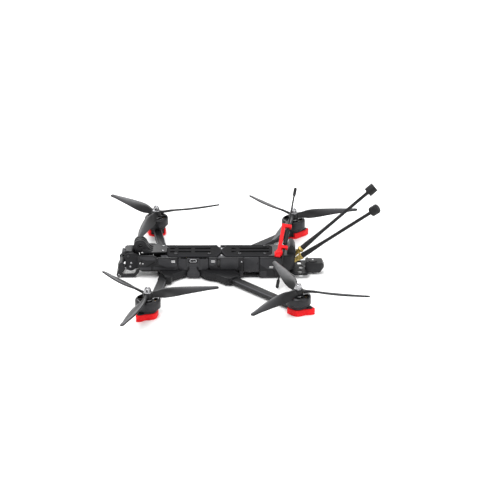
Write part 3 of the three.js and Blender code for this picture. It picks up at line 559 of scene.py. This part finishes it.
def add_top_plates():
    rim = (2.0, 1.3)
    spans = ((67.8, 74.5), (45, 63.2), (18.5, 40.3))
    slots = [slot_hole(x0, x1, y) for y in (-SLOT_Y, SLOT_Y) for x0, x1 in spans]
    outer = [(81.5, 3), (75, BODY_HALF), (9.4, BODY_HALF), (3.6, 5)]
    front = Shells().plate(symmetric(outer), slots, TOP_LOW, TOP_HIGH, rim)
    front.done("front_top_plate_cut", "top_carbon", "airframe", "front_top_plate", 0.3)
    lip = Shells()
    for s in (1, -1):
        ear = [(71, 17.8 * s), (84, 17.8 * s), (87, 10 * s), (80, 9 * s), (69.5, 12 * s)]
        lip.prism(rounded(ear, 0.6), 26.8, 28.7)
    lip.done("front_top_plate_lip", "pale_carbon", "airframe", "front_top_plate", 0.3)
    slots = []
    for s in (-1, 1):
        chevron = [(-10.2, 3), (-10.2, 7.4), (-13, 7.4), (-17.4, 4.4), (-17.4, 3)]
        slots += [rounded([(x, y * s) for x, y in chevron], 0.6), slot_hole(-62.4, -21.3, SLOT_Y * s)]
    outer = [(3, 5), (-2.8, BODY_HALF), (-59.6, BODY_HALF), (-66, 12)]
    rear = Shells().plate(symmetric(outer), slots, TOP_LOW, TOP_HIGH, rim)
    rear.done("rear_top_plate_cut", "top_carbon", "airframe", "rear_top_plate", 0.3)


def add_plates():
    for node in ("bottom_plate", "mid_plate"):
        refined(node, "arm_carbon", 0.3)
    for node in ("tail_plate", "camera_cage_left", "camera_cage_right"):
        refined(node, "carbon", 0.3)
    refined("bridge_plate", "pale_carbon", 0.3)
    add_top_plates()
    posts = Shells()
    profile = [(0, 10.7), (2.2, 10.7), (2.6, 11.1), (2.6, 28.4), (2.2, 28.7), (0, 28.7)]
    for x in POST_XS:
        for y in (-13, 13):
            posts.turned(profile, 24, at(x, y, 0))
    posts.done("standoffs", "anodised")


def add_screws():
    black = Shells()
    for x in POST_XS:
        for y in (-12.6, 12.6):
            black.screw(2.3, at(x, y, TOP_HIGH))
    black.done("top_screws", "dark_steel")
    silver = Shells()
    for y in (-11, 11):
        silver.screw(1.7, at(3.3, y, 28.5))
        silver.screw(1.8, at(83.6, y * 0.7, 34.6))
    for _, side in SIDES:
        out = (0, side, 0)
        for x, z in ((127.6, 19.2), (129, 13.6)):
            silver.screw(1.7, at(x, 14 * side, z, out))
        for x, z in ((145, 3), (143.2, 0.6)):
            silver.screw(1.2, at(x, 17.2 * side, z, out))
        silver.screw(1.3, at(-24.2, PANEL_OUT * side, 23.5, out))
    silver.done("bright_screws", "steel")
    under = Shells()
    for x in (80, 58, 12, -16, -34, -80):
        for y in (-13.5, 13.5):
            under.screw(2.4, at(x, y, 0, (0, 0, -1)))
    under.done("belly_screws", "dark_steel")


# ---- side panels --------------------------------------------------------------------------------

# Raised fields on the left panel, drawn in XZ: outline, thickness over the panel.
RELIEFS = [
    ([(90, 28.8), (76, 28.8), (64.6, 20.6), (64.6, 17.4), (78, 15), (90, 20.6)], 0.5),
    ([(97, 16.4), (78, 13.6), (66, 12.2), (97, 12.2)], 0.4),
    ([(20, 28.8), (10.2, 28.8), (10.2, 20.6), (15.4, 17.4), (20, 19)], 0.5),
    ([(-21.6, 9.6), (-26.2, 9.6), (-26.2, 1), (-21.6, 1)], 0.4),
    ([(-49.6, 28.8), (-78, 28.8), (-78, 18.4), (-71, 12.4), (-60, 12.4), (-49.6, 19.6)], 0.45),
    ([(-49.6, 10), (-58.6, 10), (-58.6, 1), (-49.6, 1)], 0.4),
    # This nose field is raised; its lighter relief colour also paints the sheen along the top of the nose
    # panel.
    ([(115, 31.4), (98, 31.4), (94.4, 29.6), (94.4, 26.2), (106.4, 26.2), (115, 28.6)], 0.5),
    ([(100, 15.6), (100, 12), (116, 12), (116, 15.6)], 0.4),
    ([(35.6, 16.4), (35.6, 28.2), (34.0, 28.2), (34.0, 16.4)], 0.95),
    ([(50.5, 16.4), (50.5, 28.2), (48.9, 28.2), (48.9, 16.4)], 0.95),
    ([(47.4, 17.6), (47.4, 21.0), (37.2, 21.0), (37.2, 17.6)], 0.85),
    ([(48.2, 0.5), (48.2, 8.2), (45.6, 12.6), (39.0, 12.6), (36.4, 8.2), (36.4, 0.5)], 0.85),
]
# Painted shade on the left panel: dark sheets in the port opening, the shoulder notches and two seams; outline
# and the height of their floor over the panel.
RECESS_SHADES = [
    ([(48.4, 21.9), (48.4, 28.1), (36.2, 28.1), (36.2, 21.9)], 0.55),
    ([(37.4, 14.2), (35.2, 8.6), (34.2, 8.6), (34.2, 11.6), (36.2, 15.4)], 0.55),
    ([(47.2, 14.2), (49.4, 8.6), (50.4, 8.6), (50.4, 11.6), (48.4, 15.4)], 0.55),
    ([(-63.4, 14.6), (-64.0, 14.0), (-68.6, 9.0), (-69.4, 1.2), (-70.0, 1.2), (-69.2, 9.4)], 0.08),
    ([(94.6, 24.4), (94.6, 22.4), (107.0, 15.0), (107.0, 16.6)], 0.08),
]
BULGE_ROWS = 13
# Plain white bars on the panels: centre x, centre z and the panel's face.
MARKS = [(69.6, 24.4, 21.75), (14.8, 24.4, 21.75), (-13.6, 17.0, 21.8), (-65.0, 15.6, 21.7)]


def add_side_panels(word, side):
    place = drawn_on(side)
    for panel, look in (("nose_panel", "plastic"), ("front_panel", "plastic"), ("mid_panel", "plastic"),
                        ("hatch_panel", "relief"), ("rear_panel", "plastic"), ("port_column", "relief")):
        refined(f"{panel}_{word}", look, 0.35)
    reliefs = Shells()
    for points, height in RELIEFS:
        reliefs.prism(rounded(points, 0.8, 3), PANEL_OUT - 0.3, PANEL_OUT + height, place)
    reliefs.done(f"panel_reliefs_{word}", "relief", edge=0.35)
    # Dark sheets that paint the shade in the openings and seams.
    recesses = Shells()
    for points, height in RECESS_SHADES:
        recesses.prism(rounded(points, 0.4, 3), PANEL_OUT - 0.4, PANEL_OUT + height, place)
    recesses.done(f"panel_shade_sheets_{word}", "painted_shade", edge=0.05, segments=1)
    bulge = Shells()
    rings = []
    for i in range(BULGE_ROWS):
        t = i / (BULGE_ROWS - 1)
        z = 29.2 - 17.4 * t
        out = PANEL_OUT - 0.2 + 1.5 * math.sin(math.pi * min(1.0, 0.1 + 0.9 * t)) ** 0.7
        front, back, inner = 4.6, -19.8 + 12.8 * max(0.0, t - 0.75), PANEL_OUT - 0.5
        rings.append(bulge.ring([(front, z, out), (back, z, out), (back, z, inner), (front, z, inner)], place))
    bulge.loft(rings)
    bulge.bm.faces.new(rings[0])
    bulge.bm.faces.new(rings[-1])
    bulge.done(f"panel_bulge_{word}", "relief", edge=0.3)
    marks = Shells()
    for x, z, face in MARKS:
        for low in (-1.2, 0.6):
            bar = rounded(corners(x - 2.6, x + 2.6, z + low, z + low + 0.6), 0.25)
            marks.prism(bar, face - 0.2, face + 0.1, place)
    marks.done(f"panel_marks_{word}", "white")
    port = Shells()
    outer = rounded(corners(37.3, 47.0, 23.3, 27.8), 1.7)
    inner = rounded(corners(38.3, 46.0, 24.1, 27.0), 1.2)
    levels = [(inner, 20.6), (outer, 20.6), (outer, 22.0), (inner, 22.0)]
    rings = [port.ring([(x, z, out) for x, z in points], place) for points, out in levels]
    port.loft(rings, closed=True)
    port.done(f"port_rim_{word}", "steel", edge=0.15)
    tongue = Shells().block(39.4, 44.9, 25.2, 25.9, 18, 21.4, place)
    tongue.done(f"port_tongue_{word}", "rubber", edge=0.1)
    grooves = Shells()
    for z in (18.6, 17.4):
        grooves.block(37.4, 47.0, z, z + 0.5, 21.6, 21.95, place)
    for x in (35.2, 48.6):
        grooves.screw(1.0, at(x, 21.7 * side, 25.5, (0, side, 0)))
    grooves.done(f"column_trim_{word}", "plastic", edge=0.1, segments=1)


# ---- nose -------------------------------------------------------------------------------------

PIVOT = PIVOTS["camera"]
CAMERA_REST = 8


def add_camera_module():
    tilt = at(*PIVOT) @ Matrix.Rotation(math.radians(-CAMERA_REST), 4, "Y")
    shell = [(-6, -6), (-4, -8), (3.6, -8), (5.4, -6), (5.4, 4.2), (3.6, 6), (-4, 6), (-6, 4)]
    body = Shells().prism(rounded(shell, 0.9, 3), -9.6, 9.6, tilt @ drawn_on(1))
    boss = [(0, 5.0), (1.3, 5.0), (1.3, 5.9), (1.0, 6.1), (0, 6.1)]
    for y in (-7.4, 7.4):
        for z in (-5.2, 3.4):
            body.turned(boss, 24, tilt @ at(0, y, z, (1, 0, 0)))
    body.done("camera_body", "plastic", "camera", "fpv_camera", 0.5)
    ahead = tilt @ at(-0.6, 0, -1, (1, 0, 0))
    barrel = [(0, 4), (6.8, 4), (6.8, 5.6), (6.4, 6.1), (5.9, 6.3), (5.8, 6.8), (5.8, 7.0, knurl),
              (5.8, 9.0, knurl), (5.8, 9.3), (5.6, 9.8), (5.3, 10.0), (5.0, 10.0), (4.8, 9.5),
              (4.6, 9.2), (4.6, 8.6), (0, 8.4)]
    Shells().turned(barrel, 96, ahead).done("camera_barrel", "dark_steel", "camera")
    angles = [math.pi / 2 * k / 10 for k in range(10, -1, -1)]
    dome = [(4.55 * math.sin(a), 8.4 + 1.3 * math.cos(a)) for a in angles]
    dome[-1] = (0, 9.7)
    Shells().turned([(0, 8.1), (4.55, 8.1)] + dome, 64, ahead).done("camera_lens", "lens", "camera")
    pins = Shells()
    for _, side in SIDES:
        pins.turned([(0, 8), (1.0, 8), (1.0, 13.4), (0, 13.4)], 24, at(PIVOT.x, 0, PIVOT.z, (0, side, 0)))
        pins.screw(1.9, at(PIVOT.x, 14.05 * side, PIVOT.z, (0, side, 0)))
    pins.done("camera_pins", "dark_steel", "camera")


def add_nose():
    add_camera_module()
    refined("front_bumper", "plastic", 0.5, 3)
    refined("action_camera_mount", "plastic", 0.35)
    bosses = Shells()
    ring = [(4.3, -0.3, hexagon), (6.6, -0.3), (6.6, 0.5), (6.2, 0.9), (5.6, 0.9), (4.3, 0.9, hexagon)]
    for _, side in SIDES:
        bosses.turned(ring, 48, at(115, 7.5 * side, 41, (0, side, 0)), closed=True)
    bosses.done("finger_bosses", "plastic")


# ---- electronics --------------------------------------------------------------------------------


# Half lengths, half widths and heights of the small parts on a board.
CHIP_SIZES = ((1.0, 0.5, 0.4), (0.6, 0.6, 0.5), (1.6, 1.6, 0.7), (2.2, 1.1, 0.6))


def add_board(node, x, z, half, parts):
    """A circuit board with seeded parts on its top and a plated ring at each corner."""
    refined(node, "board", 0.12, 1)
    chips, metal_parts = Shells(), Shells()
    for _ in range(parts):
        cx, cy = dice.uniform(-half + 2.4, half - 2.4), dice.uniform(-half + 2.4, half - 2.4)
        w, d, h = dice.choice(CHIP_SIZES)
        chips.block(x + cx - w, x + cx + w, cy - d, cy + d, z + 1.5, z + 1.6 + h)
        for x0, x1 in ((-w - 0.25, -w + 0.15), (w - 0.15, w + 0.25)):
            metal_parts.block(x + cx + x0, x + cx + x1, cy - d, cy + d, z + 1.5, z + 1.7)
    ring = [(1.5, -0.05), (2.3, -0.05), (2.3, 1.68), (1.5, 1.68)]
    for sx in (-1, 1):
        for sy in (-1, 1):
            metal_parts.turned(ring, 24, at(x + sx * (half - 2.6), sy * (half - 2.6), z), closed=True)
    chips.done(f"{node}_chips", "chip", edge=0.08, segments=1)
    metal_parts.done(f"{node}_pads", "brass")


def add_electronics():
    add_board("speed_controller", 42, 12.6, 17.6, 46)
    add_board("flight_controller", 42, 20.6, 17.6, 52)
    add_board("receiver", -71, 13.4, 7.6, 10)
    refined("video_transmitter", "heat_sink", 0.25)
    can = [(0, -9), (3.9, -9), (4.5, -8.7), (5, -8.2), (5, 5.6), (4.7, 6.0), (4.7, 6.5), (5, 6.9),
           (5, 8.3), (4.5, 8.9), (4.1, 9), (3.9, 8.7), (0, 8.7)]
    Shells().turned(can, 40, at(-6, 0, 17, (1, 0, 0))).done(
        "power_capacitor_sleeve", "rubber", "airframe", "power_capacitor")


# ---- tail ---------------------------------------------------------------------------------------

STICK = Vector((-104, 11, 25.5))
STICK_AIM = Vector((-99.5, 24.3, 81)).normalized()
STICK_REACH = 130.5
CAP_SOFTNESS = {"left": 2.4, "right": 0.5}
DIPOLE = Vector((-86, 0, 50.6))
DIPOLE_AIM = Vector((-13.8, -57.7, 49.8)).normalized()
DIPOLE_HALF = 77


def add_stick(word, side):
    axis = (STICK_AIM.x, STICK_AIM.y * side, STICK_AIM.z)
    place = at(STICK.x, STICK.y * side, STICK.z, axis)
    soft = CAP_SOFTNESS[word]
    low, high = STICK_REACH - 6.4, STICK_REACH + 6.4
    angles = [math.pi / 8 * k for k in range(5)]
    arc = [(6.7 - soft + soft * math.sin(a), soft * (1 - math.cos(a))) for a in angles]
    cap = [(r, low + rise) for r, rise in arc] + [(r, high - rise) for r, rise in reversed(arc)]
    sleeve = [(0, 5.3), (3.4, 5.3), (3.8, 5.7), (3.8, 8.4), (3.55, 8.9), (3.6, 9.6), (3.55, 14),
              (3.4, 20), (3.05, 27), (2.7, 34), (2.45, 40), (2.35, 46), (2.35, low - 1.6),
              (2.8, low - 0.8), (3.0, low)]
    Shells().turned(sleeve + cap + [(0, high)], 56, place).done(
        f"video_antenna_{word}_moulding", "rubber", "airframe", f"video_antenna_{word}")
    thread = [(3.1 - 0.25 * (i % 2), -9 + 0.3 * i) for i in range(20)]
    upper = [(3.3 - 0.22 * (i % 2), -0.6 + 0.3 * i) for i in range(6)]
    nut = [(3.9, -3), (4.3, -2.8, hexagon), (4.3, -0.9, hexagon), (3.6, -0.7)]
    plug = [(4.1, 1.0), (4.35, 1.3, knurl), (4.35, 4.3, knurl), (4.0, 4.8), (3.6, 5.1), (1.2, 5.1)]
    Shells().turned([(1.2, -9)] + thread + nut + upper + plug, 96, place, closed=True).done(
        f"antenna_socket_{word}_turned", "brass", "airframe", f"antenna_socket_{word}")


def add_dipole():
    arm = [(3.1, 9.0), (3.0, 10.2), (2.2, 10.9), (1.5, 11.6), (1.2, 12.8), (1.2, 64.0), (1.7, 64.6),
           (2.15, 66), (2.2, 67), (2.2, 75), (2.0, 76.2), (1.3, 76.9), (0, DIPOLE_HALF)]
    grips = [(3.1 - 0.15 * (i % 2), -8.0 + 0.8 * i) for i in range(21)]
    profile = [(r, -z) for r, z in reversed(arm)] + grips + arm
    Shells().turned(profile, 40, at(*DIPOLE, DIPOLE_AIM)).done(
        "receiver_antenna_moulding", "rubber", "airframe", "receiver_antenna")


def add_tail():
    refined("antenna_holder", "plastic", 0.4)
    refined("gps_module", "plastic", 0.5, 3)
    refined("antenna_bracket", "red", 0.5, 3)
    for word, side in SIDES:
        add_stick(word, side)
    add_dipole()
    centre = at(-122.6, 0, 0)
    cap = [(0, 15.6), (6.7, 15.6), (6.7, 16.0), (6.4, 16.3), (5.4, 16.4), (5.2, 16.25), (4.6, 16.25),
           (4.4, 16.5), (3.2, 16.6), (0, 16.65)]
    light = [(0, 16.4), (1.1, 16.4), (1.1, 16.8), (0.7, 16.95), (0, 17.0)]
    Shells().turned(cap, 56, centre).done("gps_cap", "plastic")
    Shells().turned(light, 32, centre).done("gps_light", "white")
    screws = Shells()
    for y in (-6, 6):
        screws.screw(1.1, at(-115.0, y, 15.3))
    screws.done("gps_screws", "dark_steel")


# ---- camera, floor and light --------------------------------------------------------------------

VIEW = {"azimuth": 180.137, "elevation": 24.489, "roll": -0.221, "distance": 2.49855, "lens": 136.083,
        "target": (-0.022165, 0.0, 0.04682)}


def add_view_camera():
    azimuth, elevation, roll = (math.radians(VIEW[key]) for key in ("azimuth", "elevation", "roll"))
    level = math.cos(elevation)
    back = Vector((math.sin(azimuth) * level, -math.cos(azimuth) * level, math.sin(elevation)))
    right = (-back).cross(Vector((0, 0, 1))).normalized()
    up = right.cross(-back)
    rolled_right = math.cos(roll) * right + math.sin(roll) * up
    rolled_up = -math.sin(roll) * right + math.cos(roll) * up
    data = bpy.data.cameras.new("view_camera")
    data.lens = VIEW["lens"]
    data.sensor_width = 36
    data.clip_end = 20
    camera = bpy.data.objects.new("view_camera", data)
    bpy.context.scene.collection.objects.link(camera)
    turn = Matrix((rolled_right, rolled_up, back)).transposed().to_4x4()
    camera.matrix_world = Matrix.Translation(Vector(VIEW["target"]) + back * VIEW["distance"]) @ turn
    bpy.context.scene.camera = camera


def add_light(name, location, size, power):
    data = bpy.data.lights.new(name, "AREA")
    data.size = size
    data.energy = power
    light = bpy.data.objects.new(name, data)
    light.location = location
    light.rotation_euler = (Vector((0, 0, 0.03)) - Vector(location)).to_track_quat("-Z", "Y").to_euler()
    bpy.context.scene.collection.objects.link(light)


def add_studio():
    scene = bpy.context.scene
    scene.view_settings.view_transform = "Standard"
    scene.world = bpy.data.worlds.new("studio")
    scene.world.use_nodes = True
    background = scene.world.node_tree.nodes["Background"]
    background.inputs["Color"].default_value = (1, 1, 1, 1)
    background.inputs["Strength"].default_value = 0.85
    add_light("key", (0.5, 1.1, 2.2), 1.3, 46)
    add_light("fill", (-1.7, 0.9, 1.0), 1.6, 16)
    add_light("rim", (0.4, -1.6, 1.5), 1.4, 34)
    s = Surface("floor", (0.9, 0.9, 0.9), 0.9)
    s.set(Base_Color=s.blend(s.noise(0.002, 0.002, 0.002), (0.90, 0.90, 0.90), (0.92, 0.92, 0.92)))
    mesh = bpy.data.meshes.new("floor")
    mesh.from_pydata([(x, y, 0) for x, y in corners(-6, 6, -6, 6)], [], [(0, 1, 2, 3)])
    mesh.materials.append(s.material)
    floor = bpy.data.objects.new("floor", mesh)
    floor.location.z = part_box("foot_pad_front_left")[0].z
    scene.collection.objects.link(floor)


# ---- whole aircraft -----------------------------------------------------------------------------

add_rotors()
add_plates()
add_screws()
for word, side in SIDES:
    add_side_panels(word, side)
add_nose()
add_electronics()
add_tail()
add_view_camera()
add_studio()
